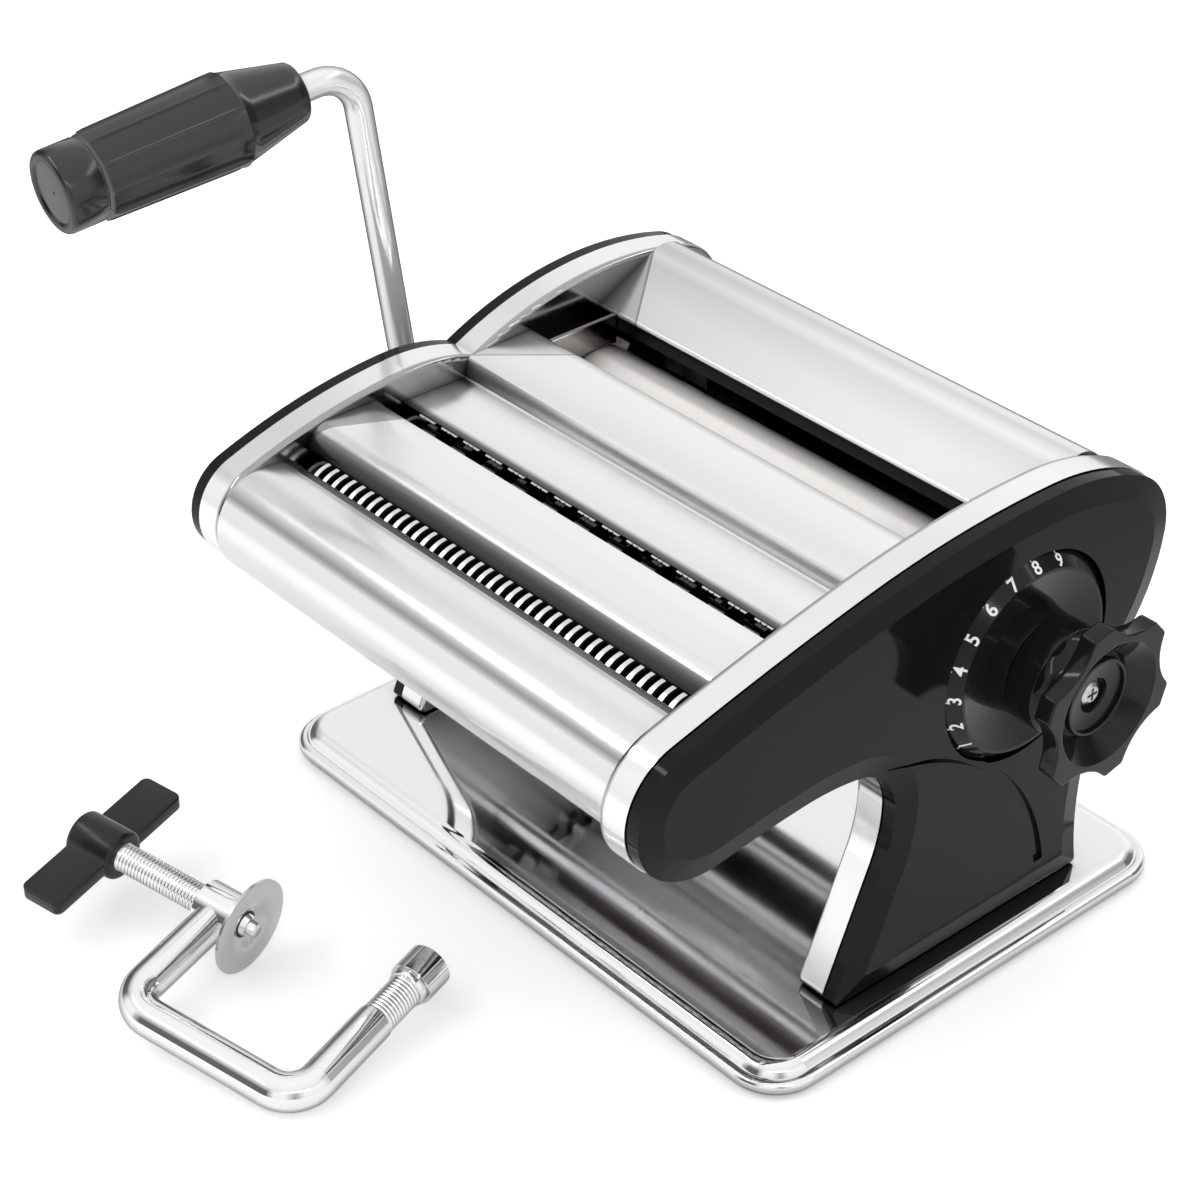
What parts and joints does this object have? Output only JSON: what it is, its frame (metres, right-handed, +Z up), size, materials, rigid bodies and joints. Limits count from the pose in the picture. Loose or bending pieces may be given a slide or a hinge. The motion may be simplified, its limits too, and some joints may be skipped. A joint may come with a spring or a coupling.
{
  "type": "hand cranked pasta machine",
  "caption": "Pasta machine: smooth rollers with a thickness dial, thin and wide cutter slots, a crank with a ribbed grip, and a loose table clamp.",
  "frame": {"origin": "centre of the base's underside, on the surface that the machine stands on", "axes": "+Z up, +X towards the thickness dial, -Y towards the cutter slots and the rounded hood"},
  "size_m": [0.2511, 0.2548, 0.2011],
  "materials": {
    "mirror_steel": "polished",
    "black_cover": "gloss",
    "roller_steel": "fine turned",
    "cutter_steel": "turned",
    "gear_nylon": "moulded",
    "plain_steel": "zinc plated",
    "bush_nylon": "moulded",
    "dial_black": "satin gloss with white numbers",
    "guide_black": "moulded",
    "crank_chrome": "plated",
    "grip_black": "ribbed satin",
    "wing_black": "satin black",
    "pad_steel": "stainless",
    "bottom_plastic": "moulded"
  },
  "bodies": {
    "machine": {"base_bottom": "bottom_plastic", "base_plate": "mirror_steel", "cutter_bridge_panel": "mirror_steel", "deck_panel": "mirror_steel", "far_shaft_plate": "plain_steel", "frame_screws": "plain_steel", "front_hood": "mirror_steel", "front_roller_bushes": "bush_nylon", "front_roller_scraper": "plain_steel", "index_plate": "plain_steel", "left_cover": "black_cover", "left_dough_guide": "guide_black", "left_plate_posts": "plain_steel", "left_side_frame": "mirror_steel", "rear_cover": "mirror_steel", "rear_roller_scraper": "plain_steel", "right_cover": "black_cover", "right_dough_guide": "guide_black", "right_plate_posts": "plain_steel", "right_side_frame": "mirror_steel", "thin_cutter_bushes": "bush_nylon", "thin_cutter_combs": "plain_steel", "tie_rod_screws": "plain_steel", "tie_rods": "plain_steel", "wide_cutter_bushes": "bush_nylon", "wide_cutter_combs": "plain_steel"},
    "front_roller": {"front_smooth_roller": "roller_steel", "front_roller_gear": "gear_nylon"},
    "rear_roller": {"rear_smooth_roller": "roller_steel", "rear_roller_gear": "gear_nylon"},
    "bearing_blocks": {"right_bearing_block": "bush_nylon", "left_bearing_block": "bush_nylon"},
    "adjuster": {"adjuster_shaft": "plain_steel", "right_eccentric_disc": "plain_steel", "left_eccentric_disc": "plain_steel", "knob_screw": "plain_steel", "knob_spring": "plain_steel"},
    "dial": {"thickness_dial": "dial_black", "dial_knob": "dial_black", "dial_stop_pin": "plain_steel"},
    "thin_driven": {"thin_cutter_rear": "cutter_steel", "thin_cutter_rear_gear": "gear_nylon"},
    "thin_mate": {"thin_cutter_front": "cutter_steel", "thin_cutter_front_gear": "gear_nylon"},
    "wide_driven": {"wide_cutter_rear": "cutter_steel", "wide_cutter_rear_gear": "gear_nylon"},
    "wide_mate": {"wide_cutter_front": "cutter_steel", "wide_cutter_front_gear": "gear_nylon"},
    "crank": {"crank_rod": "crank_chrome", "crank_grip_retainer": "plain_steel"},
    "grip": {"crank_grip": "grip_black", "crank_grip_cap": "grip_black"},
    "clamp": {"clamp_rod": "crank_chrome"},
    "clamp_plate": {"clamp_pad": "pad_steel"},
    "clamp_spindle": {"clamp_screw": "crank_chrome", "clamp_wing_nut": "wing_black", "clamp_pad_ring": "pad_steel"}
  },
  "joints": [
    {"name": "crank_turn", "type": "hinge", "parent": "machine", "child": "front_roller", "pos_m": [0, -0.0144, 0.0933], "axis": [1, 0, 0], "continuous": true},
    {"name": "dial_turn", "type": "hinge", "parent": "machine", "child": "adjuster", "pos_m": [0, 0.0193, 0.0893], "axis": [1, 0, 0], "range_deg": [-72, 72]},
    {"name": "block_slide", "type": "slide", "parent": "machine", "child": "bearing_blocks", "axis": [0, 1, 0], "range_m": [-0.00156, 0.00156]},
    {"name": "rear_roller_turn", "type": "hinge", "parent": "bearing_blocks", "child": "rear_roller", "pos_m": [0, 0.0193, 0.0933], "axis": [1, 0, 0], "continuous": true},
    {"name": "knob_pull", "type": "slide", "parent": "adjuster", "child": "dial", "axis": [1, 0, 0], "range_m": [0, 0.004], "stiffness_N_per_m": 400, "springref_m": -0.004, "deforming": ["knob_spring"]},
    {"name": "thin_cutter_turn", "type": "hinge", "parent": "machine", "child": "thin_driven", "pos_m": [0, -0.0726, 0.0996], "axis": [1, 0, 0], "continuous": true},
    {"name": "thin_mate_turn", "type": "hinge", "parent": "machine", "child": "thin_mate", "pos_m": [0, -0.0872, 0.0996], "axis": [1, 0, 0], "continuous": true},
    {"name": "wide_cutter_turn", "type": "hinge", "parent": "machine", "child": "wide_driven", "pos_m": [0, -0.0414, 0.1016], "axis": [1, 0, 0], "continuous": true},
    {"name": "wide_mate_turn", "type": "hinge", "parent": "machine", "child": "wide_mate", "pos_m": [0, -0.056, 0.1016], "axis": [1, 0, 0], "continuous": true},
    {"name": "crank_pull", "type": "slide", "parent": "front_roller", "child": "crank", "axis": [-1, 0, 0], "range_m": [0, 0.03]},
    {"name": "grip_spin", "type": "hinge", "parent": "crank", "child": "grip", "pos_m": [-0.1145, -0.0285, 0.1927], "axis": [-0.0704, -0.991, -0.114], "continuous": true},
    {"name": "clamp_lift", "type": "slide", "parent": "machine", "child": "clamp", "axis": [0, 0, 1], "range_m": [0, 0.05]},
    {"name": "clamp_feed", "type": "slide", "parent": "clamp", "child": "clamp_plate", "axis": [0.9594, 0.2625, -0.1028], "range_m": [-0.0014, 0.0152]},
    {"name": "clamp_turn", "type": "hinge", "parent": "clamp_plate", "child": "clamp_spindle", "pos_m": [-0.0364, -0.14015, 0.01444], "axis": [0.9594, 0.2625, -0.1028], "range_deg": [-360, 4320]}
  ],
  "couplings": [
    {"joint": "rear_roller_turn", "follows": "crank_turn", "ratio": -1},
    {"joint": "dial_turn", "follows": "block_slide", "rad_per_m": -803.21},
    {"joint": "thin_mate_turn", "follows": "thin_cutter_turn", "ratio": -1},
    {"joint": "wide_mate_turn", "follows": "wide_cutter_turn", "ratio": -1},
    {"joint": "clamp_feed", "follows": "clamp_turn", "m_per_rad": 0.00019894}
  ]
}
